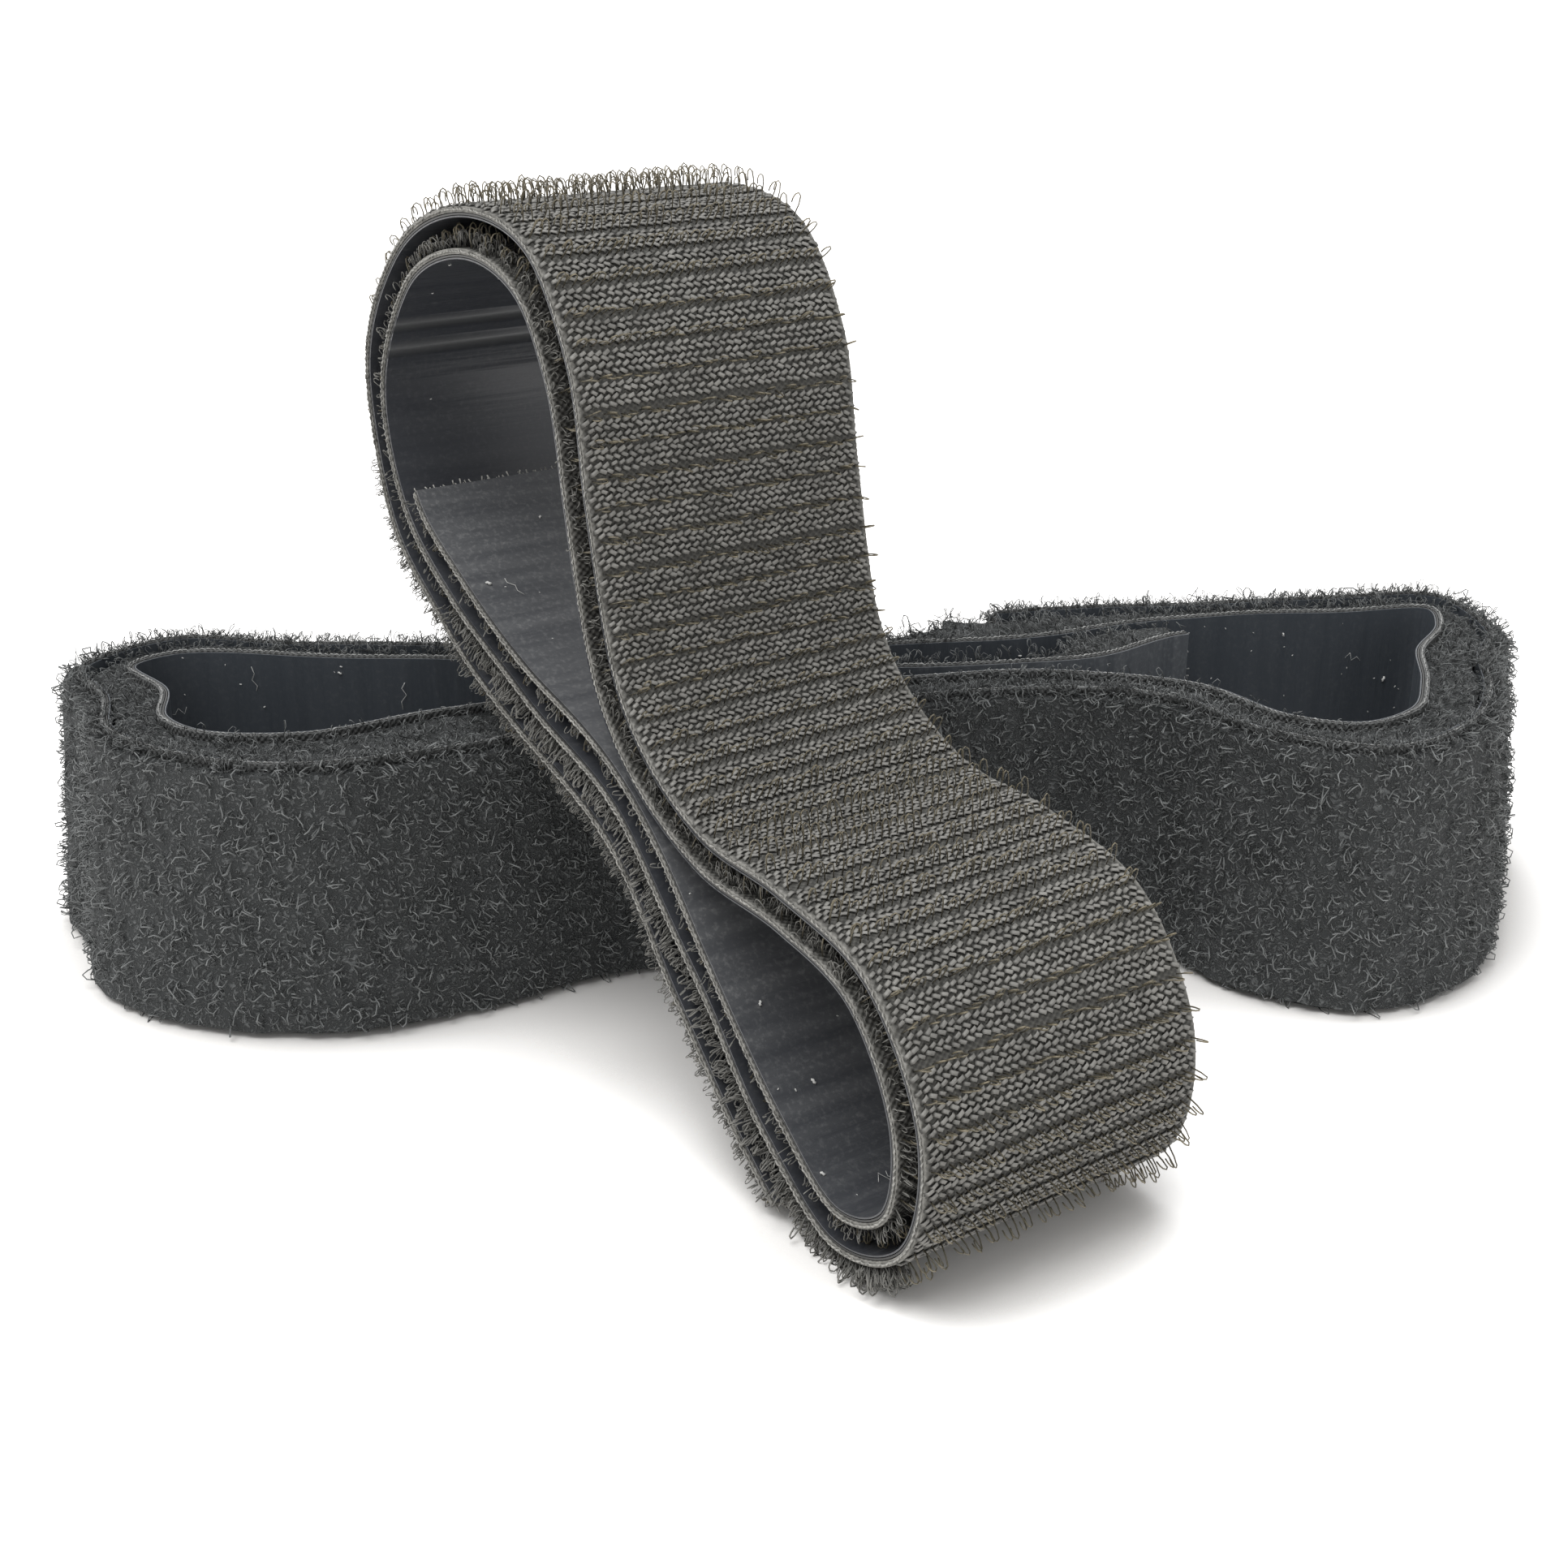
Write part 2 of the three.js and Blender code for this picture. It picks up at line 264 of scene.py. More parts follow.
def strip(name, tape, low, high, margin, rims=(0.0,), between=4, step=0.5, lumps=0.0):
    """Closed strip along a tape, from one offset to another, with length and width in mm as UV."""
    sides = [margin + c for c in rims]
    sides = sides + list(np.linspace(sides[-1], tape_width - sides[-1], between + 2)[1:-1])
    sides = np.array(sides + [tape_width - margin - c for c in reversed(rims)])
    across = np.concatenate([sides, sides[::-1]])
    runs = np.linspace(0, tape["length"], round(tape["length"] / step) + 1)
    off = np.full((len(runs), len(across)), low)
    off[:, len(sides):] = high(runs[:, None], sides[::-1]) if callable(high) else high
    off[:, len(sides):] += lumps * np.random.default_rng(3).uniform(-1, 1, (len(runs), len(sides)))
    points = on_tape(tape, runs[:, None], off, across)
    points[..., 2] = np.maximum(points[..., 2], 0)
    ring = len(across)
    mesh = new_mesh(name, points, ring_faces(len(runs), ring))
    corner = np.array([loop.vertex_index for loop in mesh.loops])
    places = np.stack([np.repeat(runs, ring), np.tile(across, len(runs))], 1)
    layer = mesh.uv_layers.new(name="tape")
    layer.data.foreach_set("uv", places[corner].astype(np.float32).ravel())
    rim = np.minimum(across - margin, tape_width - margin - across)
    ends = np.minimum(runs, tape["length"] - runs)
    inside = np.minimum(rim[None, :] / pale_rim, ends[:, None] / pale_end)
    mark(mesh, "edge", np.clip(1 - inside, 0, 1))
    mesh.polygons.foreach_set("use_smooth", np.ones(len(mesh.polygons), bool))
    mesh.set_sharp_from_angle(angle=math.radians(45))
    return put_in(name, mesh)


def tube(points, radius, sides):
    """Thin tube through points."""
    points = np.array(points, float)
    ahead = np.gradient(points, axis=0)
    ahead /= np.linalg.norm(ahead, axis=1)[:, None]
    side = np.cross(ahead, (0.31, 0.52, 0.79))
    side /= np.linalg.norm(side, axis=1)[:, None]
    other = np.cross(ahead, side)
    turn = np.linspace(0, 2 * math.pi, sides, endpoint=False)[:, None]
    around = side[:, None] * np.cos(turn) + other[:, None] * np.sin(turn)
    return (points[:, None] + radius * around).reshape(-1, 3), ring_faces(len(points), sides)


def kinds(name, shapes, lift):
    """Collection of small meshes to plant, each with how high every point stands."""
    made = bpy.data.collections.new(name)
    for i, (corners, faces) in enumerate(shapes):
        mesh = new_mesh(f"{name}_{i}", corners * mm, faces)
        mark(mesh, "high", np.clip(corners[:, 2] / lift, 0, 1))
        mesh.polygons.foreach_set("use_smooth", np.ones(len(mesh.polygons), bool))
        made.objects.link(bpy.data.objects.new(f"{name}_{i}", mesh))
    return made


def plant_tree(name, spread):
    """Plants small meshes, spread over a surface or on points by their own directions."""
    tree = bpy.data.node_groups.new(name, "GeometryNodeTree")
    for label, kind in (("Geometry", "Geometry"), ("Kinds", "Collection"),
                        ("Per square metre", "Float"), ("Seed", "Int"), ("Tilt", "Float"),
                        ("Least size", "Float"), ("Most size", "Float"), ("Material", "Material")):
        tree.interface.new_socket(label, in_out="INPUT", socket_type="NodeSocket" + kind)
    tree.interface.new_socket("Geometry", in_out="OUTPUT", socket_type="NodeSocketGeometry")
    given = node(tree, "NodeGroupInput").outputs
    tilt, seed = given["Tilt"], given["Seed"]
    if spread:
        spots = node(tree, "GeometryNodeDistributePointsOnFaces",
                     {"Mesh": given["Geometry"], "Density": given["Per square metre"],
                      "Seed": seed})
        aim = spots.outputs["Rotation"]
    else:
        spots = node(tree, "GeometryNodeMeshToPoints", {"Mesh": given["Geometry"]})
        up, facing = (
            node(tree, "GeometryNodeInputNamedAttribute", {"Name": way}, data_type="FLOAT_VECTOR")
            for way in ("up", "facing"))
        aim = node(tree, "FunctionNodeAxesToRotation",
                   {0: up.outputs["Attribute"], 1: facing.outputs["Attribute"]},
                   primary_axis="Z", secondary_axis="X").outputs[0]
    down = maths(tree, "MULTIPLY", tilt, -1)
    least = node(tree, "ShaderNodeCombineXYZ", {0: down, 1: down, 2: down})
    turned = 2 * math.pi if spread else tilt
    most = node(tree, "ShaderNodeCombineXYZ", {0: tilt, 1: tilt, 2: turned})
    sway = node(tree, "FunctionNodeRandomValue",
                {"Min": least.outputs[0], "Max": most.outputs[0], "Seed": seed},
                data_type="FLOAT_VECTOR")
    turn = node(tree, "FunctionNodeEulerToRotation", {0: sway.outputs["Value"]})
    aim = node(tree, "FunctionNodeRotateRotation", {"Rotation": aim, "Rotate By": turn.outputs[0]},
               rotation_space="LOCAL")
    size = node(tree, "FunctionNodeRandomValue",
                {"Min": given["Least size"], "Max": given["Most size"], "Seed": seed})
    choice = node(tree, "GeometryNodeCollectionInfo",
                  {"Collection": given["Kinds"], "Separate Children": True, "Reset Children": True})
    stand = node(tree, "GeometryNodeInstanceOnPoints",
                 {"Points": spots.outputs["Points"], "Instance": choice.outputs[0],
                  "Pick Instance": True, "Rotation": aim.outputs[0],
                  "Scale": size.outputs["Value"]})
    real = node(tree, "GeometryNodeRealizeInstances", {0: stand.outputs[0]})
    paint = node(tree, "GeometryNodeSetMaterial",
                 {"Geometry": real.outputs[0], "Material": given["Material"]})
    node(tree, "NodeGroupOutput", {0: paint.outputs[0]})
    return tree


def grown(name, host, tree, **inputs):
    """Plain mesh of what a tree plants on a host, which then goes. It stays above the table."""
    modifier = host.modifiers.new(tree.name, "NODES")
    modifier.node_group = tree
    for item in tree.interface.items_tree:
        key = item.name.lower().replace(" ", "_")
        if item.in_out == "INPUT" and key in inputs:
            modifier[item.identifier] = inputs[key]
    evaluated = host.evaluated_get(bpy.context.evaluated_depsgraph_get())
    mesh = bpy.data.meshes.new_from_object(evaluated)
    host.modifiers.remove(modifier)
    bpy.data.objects.remove(host)
    places = np.empty(len(mesh.vertices) * 3, np.float32)
    mesh.vertices.foreach_get("co", places)
    places[2::3] = np.maximum(places[2::3], lowest_tip * mm)
    mesh.vertices.foreach_set("co", places)
    return put_in(name, mesh)


def spots_on(name, tape, runs, off, sides, up, facing):
    """Points on a tape that know which way is up for what stands there, and which way it faces."""
    mesh = new_mesh(name, on_tape(tape, runs, off, sides), [])
    mark(mesh, "up", up, "FLOAT_VECTOR")
    mark(mesh, "facing", facing, "FLOAT_VECTOR")
    return put_in(name, mesh)


def weave_group():
    """Plain weave from UV in millimetres, as a rise from 0 to 1."""
    group = bpy.data.node_groups.new("plain_weave", "ShaderNodeTree")
    for label in ("Pick", "End"):
        group.interface.new_socket(label, in_out="INPUT", socket_type="NodeSocketFloat")
    group.interface.new_socket("Rise", in_out="OUTPUT", socket_type="NodeSocketFloat")
    given = node(group, "NodeGroupInput").outputs
    place = node(group, "ShaderNodeUVMap", uv_map="tape")
    apart = node(group, "ShaderNodeSeparateXYZ", {0: place.outputs[0]}).outputs
    picks = maths(group, "SINE", maths(group, "DIVIDE", apart[0], given["Pick"]))
    ends = maths(group, "SINE", maths(group, "DIVIDE", apart[1], given["End"]))
    rise = maths(group, "MULTIPLY_ADD", maths(group, "MULTIPLY", picks, ends), 0.5, 0.5)
    node(group, "NodeGroupOutput", {0: rise})
    return group


def cloud(tree, scale, **more):
    """Noise through the space of the object itself."""
    place = node(tree, "ShaderNodeTexCoord").outputs["Object"]
    return node(tree, "ShaderNodeTexNoise", {"Vector": place, "Scale": scale, **more}).outputs[0]


def mixed(tree, share, low, high):
    """Colour between two others, each a colour or another node's output."""
    low, high = (c if isinstance(c, bpy.types.NodeSocket) else (*c, 1) for c in (low, high))
    made = node(tree, "ShaderNodeMix", {"Factor": share, "A": low, "B": high}, data_type="RGBA")
    return made.outputs["Result"]


def emboss(tree, shader, height, strength, depth):
    """Gives a paint its relief."""
    bump = node(tree, "ShaderNodeBump", {"Strength": strength, "Distance": depth, "Height": height})
    tree.links.new(bump.outputs["Normal"], shader.inputs["Normal"])


def woven(name, painted_hollow_shade, thread, rim, rough):
    """Woven nylon: lighter threads with painted shade in the hollows between them, and a paler rim
    where threads turn or are cut.
    """
    made, tree, shader = new_paint(name, rough)
    weave = node(tree, "ShaderNodeGroup", node_tree=plain_weave)
    weave.inputs["Pick"].default_value = pick_pitch / (2 * math.pi)
    weave.inputs["End"].default_value = end_pitch / (2 * math.pi)
    rise = weave.outputs["Rise"]
    edge = node(tree, "ShaderNodeAttribute", attribute_name="edge").outputs["Fac"]
    patchy = ranged(tree, cloud(tree, 1500, Detail=2), 0.3, 0.62, low=0.25)
    pale = maths(tree, "MULTIPLY", edge, patchy)
    # The hollows of the weave get a darker colour: painted shade.
    tint = mixed(tree, pale, mixed(tree, rise, painted_hollow_shade, thread), rim)
    tree.links.new(tint, shader.inputs["Base Color"])
    emboss(tree, shader, rise, 0.7, 0.0002)
    return made


def fibre_paint(name, root, crown, rough, bare=0.0):
    """Nylon fibre: dark at its root in the shade of others, lighter where it stands free."""
    made, tree, shader = new_paint(name, rough)
    high = node(tree, "ShaderNodeAttribute", attribute_name="high").outputs["Fac"]
    spread = ranged(tree, cloud(tree, 800), 0.3, 0.7, low=0.4)
    free = maths(tree, "MULTIPLY", ranged(tree, high, start=bare), spread)
    tree.links.new(mixed(tree, free, root, crown), shader.inputs["Base Color"])
    return made


def weft_turns(name, tape, paint):
    """Turns of the weft thread along both edges of a ground."""
    runs = np.arange(0.3, tape["length"] - 0.3, turn_pitch)
    both = np.concatenate([runs, runs])
    side = np.repeat([0.0, tape_width], len(runs))
    up = crosswise(tape, both) * np.repeat([-1.0, 1.0], len(runs))[:, None]
    spots = spots_on(name + "_spots", tape, both, 0.0, side, up, onwards(tape, both))
    return grown(name, spots, stand_on, kinds=turn_kinds, seed=7, tilt=0.3,
                 least_size=0.85, most_size=1.25, material=paint)


def frayed_ends(name, tape, paint):
    """Ends of the cut warp threads, which stand out of both ends of a ground."""
    side = np.arange(0.3, tape_width - 0.2, warp_pitch)
    both = np.tile(side, 2)
    runs = np.repeat([0.15, tape["length"] - 0.15], len(side))
    up = onwards(tape, runs) * np.repeat([-1.0, 1.0], len(side))[:, None]
    spots = spots_on(name + "_spots", tape, runs, 0.0, both, up, outwards(tape, runs))
    return grown(name, spots, stand_on, kinds=fray_kinds, seed=9, tilt=0.35,
                 least_size=0.5, most_size=1.3, material=paint)


plain_weave = weave_group()
stand_on = plant_tree("stand_on_points", spread=False)
turn_line = [(-0.21, 0, -0.14), (-0.18, 0, 0.02), (0, 0, 0.09), (0.18, 0, 0.02), (0.21, 0, -0.14)]
turn_kinds = kinds("weft_turn", [tube(turn_line, 0.065, 3)], 0.15)
fray_kinds = kinds("fray", [tube([(0, 0, -0.2), (0.02, 0.03, 0.2), (bend, 0.1, 0.5)], 0.05, 3)
                            for bend in (-0.12, 0.05, 0.2)], 0.5)
loop_tape = wind_tape(
    lap=((0.592, 0.532, 0.3), (0.42, 0.021, 0.77), (0.153, 0, 0.44), (-0.162, 0.205, 0.23),
         (-0.486, 0.568, 0.05), (-0.749, 0.795, 0.05), (-0.941, 1, 0.14), (-1, 0.705, 0.14),
         (-0.935, 0.034, 0.3), (-0.917, -0.55, 0.22), (-0.846, -0.94, 0.2), (-0.709, -1, 0.75),
         (-0.526, -0.63, 1), (-0.304, -0.32, 0.65), (0.076, -0.174375, 0.4), (0.363, -0.188, 0.1),
         (0.54, -0.438, 0.14), (0.63, -0.85, 0.23), (0.721, -1, 0.35), (0.809, -0.85, 0.28),
         (0.866, -0.5, 0.37), (0.912, -0.063, 0.37), (0.989, 0.553, 0.2), (1, 1, 0.16),
         (0.83, 0.979, 0.12)),
    plus=(52.4, 16, 9.4), minus=(49.4, 10, 8.8), pitch=2.82, slack=4.3, end=51.2)
seat(loop_tape, "loop_ground")
loop_ground = strip("loop_weave", loop_tape, -ground_face, ground_face, 0, rims=(0.0, 0.3, 0.7))
# Its first colour is the painted shade in the weave's hollows.
loop_ground.data.materials.append(
    woven("loop_nylon", (0.03, 0.031, 0.031), (0.09, 0.093, 0.093), (0.14, 0.143, 0.142), 0.75))
loop_thread = fibre_paint("loop_thread", (0.1, 0.102, 0.102), (0.58, 0.585, 0.57), 0.7)
loop_turns = weft_turns("loop_weft_turns", loop_tape, loop_thread)
loop_ends = frayed_ends("loop_frayed_ends", loop_tape, loop_thread)
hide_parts("loop_ground")
for piece in (loop_ground, loop_turns, loop_ends):
    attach(piece, "loop_roll")

# Loop tape's adhesive
# Thin film of pressure-sensitive adhesive rolled on to the back of the ground.
# Only its cut edge shows, a dark line inside the pale line of the weave.
film_low, film_high = -0.345, -0.225
film_margin = 0.05
adhesive, adhesive_tree, adhesive_shader = new_paint("adhesive", 0.4)
adhesive_tint = mixed(adhesive_tree, cloud(adhesive_tree, 400),
                      (0.02, 0.02, 0.019), (0.04, 0.04, 0.039))
adhesive_tree.links.new(adhesive_tint, adhesive_shader.inputs["Base Color"])
loop_adhesive = strip("loop_film", loop_tape, film_low, film_high, film_margin, between=1)
loop_adhesive.data.materials.append(adhesive)
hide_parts("loop_adhesive")
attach(loop_adhesive, "loop_roll")

# Loop tape's liner
# Smooth dark release film over the adhesive, on the inside of every lap.
# It is slightly dusty, and a few crumbs, threads and specks of lint cling to it.
liner_low, liner_high = -0.495, -0.395
crease_reach, crease_rise = 0.8, 2.5
lint_low = 6


def release_film(name, base, dust, dusty_run, creases):
    """Release liner: smooth, with fine dust, most of it near the inner end, and folds across it,
    each with a painted highlight along it.
    """
    made, tree, shader = new_paint(name, 0.3)
    uv = node(tree, "ShaderNodeUVMap", uv_map="tape").outputs[0]
    run = node(tree, "ShaderNodeSeparateXYZ", {0: uv}).outputs[0]
    near = ranged(tree, run, dusty_run * 0.6, dusty_run, low=1.0, high=0.3)
    bloom = cloud(tree, 3000, Detail=5, Roughness=0.65)
    specks = ranged(tree, bloom, 0.5, 0.8, low=0.35, high=0.9)
    stretch = node(tree, "ShaderNodeMapping", {"Vector": uv, "Scale": (0.9, 0.04, 1)}).outputs[0]
    streak = node(tree, "ShaderNodeTexNoise", {"Vector": stretch, "Scale": 1, "Detail": 4})
    streak = streak.outputs[0]
    rubbed = ranged(tree, streak, 0.3, 0.7, low=0.55, high=1.3)
    dusty = maths(tree, "MULTIPLY", maths(tree, "MULTIPLY", near, specks), rubbed)
    pale = dusty
    height = maths(tree, "MULTIPLY", streak, 0.5)
    for crease in creases:
        gap = maths(tree, "ABSOLUTE", maths(tree, "SUBTRACT", run, crease))
        fold = ranged(tree, gap, stop=crease_reach, low=crease_rise, high=0.0, kind="SMOOTHSTEP")
        height = maths(tree, "ADD", height, fold)
        # Each fold gets a painted highlight, a pale band along it.
        pale = maths(tree, "MULTIPLY_ADD", fold, 0.2, pale)
    tree.links.new(mixed(tree, pale, base, dust), shader.inputs["Base Color"])
    tree.links.new(ranged(tree, dusty, low=0.25, high=0.75), shader.inputs["Roughness"])
    emboss(tree, shader, height, 0.6, 0.0004)
    return made


def lint(name, tape, seed, crumbs, threads, specks):
    """Crumbs and threads on a liner by length run and place across, and specks over stretches."""
    chance = np.random.default_rng(seed)
    strewn = []
    for start, stop, count in specks:
        run = chance.uniform(start, stop, count)
        strewn.append(np.stack([run, chance.uniform(lint_low, tape_width - 0.2, count)], 1))
    made = []
    for label, where, shapes, size in (("crumbs", np.array(crumbs), crumb_kinds, 1.0),
                                       ("threads", np.array(threads), lint_kinds, 1.0),
                                       ("specks", np.concatenate(strewn), crumb_kinds, 0.4)):
        run, side = where.T
        spots = spots_on(f"{name}_{label}_spots", tape, run, liner_low - 0.06 * size, side,
                         -outwards(tape, run), chance.normal(0, 1, (len(where), 3)))
        made.append(grown(f"{name}_{label}", spots, stand_on, kinds=shapes, seed=seed, tilt=0.2,
                          least_size=0.7 * size, most_size=1.3 * size, material=lint_paint))
    return made


crumb_line = [(-0.16, 0, 0), (-0.05, 0.06, 0.03), (0.08, -0.02, 0.05), (0.17, 0.03, 0)]
crumb_kinds = kinds("crumb", [tube(crumb_line, 0.09, 5)], 0.1)
lint_lines = [[(-0.9, 0, 0), (-0.4, 0.15 * bend, 0.02), (0.1, -0.1 * bend, 0.05),
               (0.5, 0.25 * bend, 0.08), (0.9, 0.1, 0.1)] for bend in (1, -2)]
lint_kinds = kinds("lint", [tube(line, 0.025, 3) for line in lint_lines], 0.1)
lint_paint = fibre_paint("lint_cotton", (0.5, 0.5, 0.48), (0.8, 0.8, 0.78), 0.9)
loop_liner = strip("loop_release", loop_tape, liner_low, liner_high, film_margin, between=1)
loop_liner.data.materials.append(
    release_film("loop_liner_film", (0.052, 0.061, 0.073), (0.2, 0.21, 0.22), 30, ()))
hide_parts("loop_liner")
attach(loop_liner, "loop_roll")
loop_lint = lint("loop_lint", loop_tape, 4,
                 [(166.2, 19.5), (253.8, 18.6), (246.2, 19.6), (231.0, 18.2), (222.0, 14.0),
                  (66.8, 18.8)],
                 [(73.5, 18.0), (80.0, 15.5), (62.0, 17.0), (225.0, 16.0)],
                 ((212, 262, 60), (52, 95, 18)))
for piece in loop_lint:
    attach(piece, "loop_roll")

# Loop tape's pile
# Fine nylon loops, woven into the ground and napped into a deep tangle of curls from edge to edge.
# Between two laps the tangle swells until it fills the gap. It is fuller at the foot of both ends
# of the roll, and slopes down behind the outer end.
pile_foot = 0.225
pile_height = 1.8
felt_height = 0.9
pile_low, pile_high = 0.9, tape_width - 0.25
pile_per_square_metre = 4.3e6
last_lap = 258
outer_lap = loop_tape["length"] - last_lap
other_lap = 40
least_room, most_room = 0.6, 7.0
foot_puff, foot_from, foot_over = 2.0, 38, 14
end_puff, end_over = 3.4, 14
curl_count, curl_points, curl_radius = 12, 6, 0.05
fuzz_tries, fuzz_full = 18500, 4.4
fuzz_on_top = 0.88
rim_count, end_count = 2000, 500


def room_outside(tape):
    """Depth of the gap between each place of a tape and the next lap, or the pile's own height."""
    apart = np.linalg.norm(tape["at"][:, None] - tape["at"][None, :], axis=2)
    apart[tape["run"][None, :] - tape["run"][:, None] < other_lap] = np.inf
    gap = apart.min(1) + liner_low - pile_foot
    return np.where(tape["run"] > outer_lap, pile_height, np.clip(gap, least_room, most_room))


def puff(run, side):
    """How far the pile of the outer lap stands out beyond its own height."""
    along = np.abs(on_tape(loop_tape, run, 0.0, 0.0)[..., 0]) / mm
    foot = foot_puff * np.clip((along - foot_from) / foot_over, 0, 1)
    foot = foot * np.clip(1 - side / tape_width, 0, 1)
    under = end_puff * np.clip(1 - (run - outer_lap) / end_over, 0, 1) ** 2
    return (foot + under) * (run > outer_lap)


def felt_face(run, side):
    """Offset of the tangle's dense part."""
    deep = np.maximum(np.interp(run, loop_tape["run"], loop_room) - 0.35, 0.3)
    return pile_foot + np.where(run > outer_lap, felt_height, deep) + puff(run, side)


def pile_base(name, start, stop, step):
    """Open surface at the foot of the pile, over part of the outer lap."""
    runs = np.linspace(start, stop, max(round((stop - start) / step), 1) + 1)
    sides = np.linspace(pile_low, pile_high, max(round((pile_high - pile_low) / step), 1) + 1)
    points = on_tape(loop_tape, runs[:, None], pile_foot + puff(runs[:, None], sides), sides)
    wide = len(sides)
    faces = [(i * wide + k, (i + 1) * wide + k, (i + 1) * wide + k + 1, i * wide + k + 1)
             for i in range(len(runs) - 1) for k in range(wide - 1)]
    return put_in(name, new_mesh(name, points, faces))


felt_paint, felt_tree, felt_shader = new_paint("pile_felt", 0.9)
felt_swirl = cloud(felt_tree, 1300, Detail=2, Distortion=0.6)
felt_lines = maths(felt_tree, "PINGPONG", maths(felt_tree, "MULTIPLY", felt_swirl, 7.0), 0.5)
felt_curls = ranged(felt_tree, felt_lines, 0.15, 0.5)
felt_tint = mixed(felt_tree, felt_curls, (0.035, 0.038, 0.039), (0.16, 0.168, 0.17))
felt_tree.links.new(felt_tint, felt_shader.inputs["Base Color"])
emboss(felt_tree, felt_shader, felt_curls, 0.9, 0.0003)
loop_room = room_outside(loop_tape)
loop_felt = strip("loop_pile_felt", loop_tape, pile_foot, felt_face, 0.55, rims=(0.0, 0.4),
                  between=8, step=0.6, lumps=0.12)
loop_felt.data.materials.append(felt_paint)

curl_chance = np.random.default_rng(11)
curls = []
for i in range(curl_count):
    rise = curl_chance.uniform(0.55, 0.95) * pile_height
    wide = curl_chance.uniform(0.4, 1.3)
    swirl = curl_chance.uniform(0.2, 0.4)
    phase = curl_chance.uniform(0, 2 * math.pi)
    twist = curl_chance.uniform(4, 8)
    share = np.linspace(0, 1, curl_points)
    curls.append(tube(np.stack([
        wide * share + swirl * (np.sin(twist * share + phase) - math.sin(phase)),
        swirl * (np.cos(twist * share + phase) - math.cos(phase)),
        rise * np.sin(math.pi * (0.92 * share) ** 0.8),
    ], 1), curl_radius, 3))
curl_kinds = kinds("curl", curls, pile_height)
spread_over = plant_tree("spread_over_surface", spread=True)
pile_paint = fibre_paint("pile_nylon", (0.053, 0.056, 0.056), (0.285, 0.297, 0.297), 0.6)
pile_pieces = [loop_felt]
pile_parts = np.linspace(outer_lap, loop_tape["length"], 7)
for i, (start, stop) in enumerate(zip(pile_parts[:-1], pile_parts[1:])):
    base = pile_base(f"pile_base_{i}", start, stop, 0.75)
    pile_pieces.append(grown(f"loop_pile_{i + 1}", base, spread_over, kinds=curl_kinds,
                             per_square_metre=pile_per_square_metre, seed=20 + i, tilt=0.5,
                             least_size=0.7, most_size=1.1, material=pile_paint))

fuzz_chance = np.random.default_rng(8)
fuzz_run = fuzz_chance.uniform(0, loop_tape["length"], fuzz_tries)
fuzz_deep = np.interp(fuzz_run, loop_tape["run"], loop_room)
fuzz_kept = fuzz_chance.uniform(0, fuzz_full, len(fuzz_run)) < fuzz_deep
fuzz_run, fuzz_deep = fuzz_run[fuzz_kept], fuzz_deep[fuzz_kept]
fuzz_outside = fuzz_run > outer_lap
fuzz_off = np.where(fuzz_outside, -0.35, pile_foot)
fuzz_off += (fuzz_deep - 0.4) * fuzz_chance.uniform(0, 1, len(fuzz_run))
fuzz_top = fuzz_chance.uniform(0, 1, len(fuzz_run)) < fuzz_on_top
fuzz_side = fuzz_chance.uniform(-0.1, 1.1, len(fuzz_run))
fuzz_side = np.where(fuzz_top, tape_width - fuzz_side, fuzz_side + pile_low)
fuzz_stray = fuzz_chance.normal(0, 1, (len(fuzz_run), 3))
fuzz_off += puff(fuzz_run, fuzz_side)
fuzz_rim = fuzz_top & fuzz_outside
fuzz_up = np.where(fuzz_rim, 0.3, 0.7)[:, None] * outwards(loop_tape, fuzz_run)
fuzz_up = fuzz_up + np.where(fuzz_rim, 0.6, 0.3)[:, None] * crosswise(loop_tape, fuzz_run)
fuzz_up = fuzz_up + 0.45 * fuzz_stray
for i, part in enumerate(np.array_split(np.argsort(fuzz_run), 3)):
    spots = spots_on(f"fuzz_spots_{i}", loop_tape, fuzz_run[part], fuzz_off[part], fuzz_side[part],
                     fuzz_up[part], fuzz_stray[part])
    pile_pieces.append(grown(f"loop_fuzz_{i + 1}", spots, stand_on, kinds=curl_kinds, seed=30 + i,
                             tilt=0.3, least_size=0.45, most_size=0.75, material=pile_paint))

rim_run = np.concatenate([fuzz_chance.uniform(outer_lap, loop_tape["length"], rim_count),
                          np.full(end_count, loop_tape["length"] - 0.15)])
rim_off = fuzz_chance.uniform(-0.3, 0.3, len(rim_run))
rim_side = tape_width - fuzz_chance.uniform(-0.05, 0.1, len(rim_run))
rim_off[rim_count:] = fuzz_chance.uniform(pile_foot, pile_foot + 1.3, end_count)
rim_side[rim_count:] = fuzz_chance.uniform(0.8, tape_width, end_count)
rim_stray = fuzz_chance.normal(0, 1, (len(rim_run), 3))
rim_up = np.concatenate([crosswise(loop_tape, rim_run[:rim_count]),
                         onwards(loop_tape, rim_run[rim_count:])])
rim_up = rim_up + 0.5 * rim_stray
rim_spots = spots_on("rim_spots", loop_tape, rim_run, rim_off, rim_side, rim_up, rim_stray)
pile_pieces.append(grown("loop_rim_fuzz", rim_spots, stand_on, kinds=curl_kinds, seed=33, tilt=0.3,
                         least_size=0.35, most_size=0.6, material=pile_paint))
for piece in pile_pieces:
    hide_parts("loop_pile")
    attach(piece, "loop_roll")

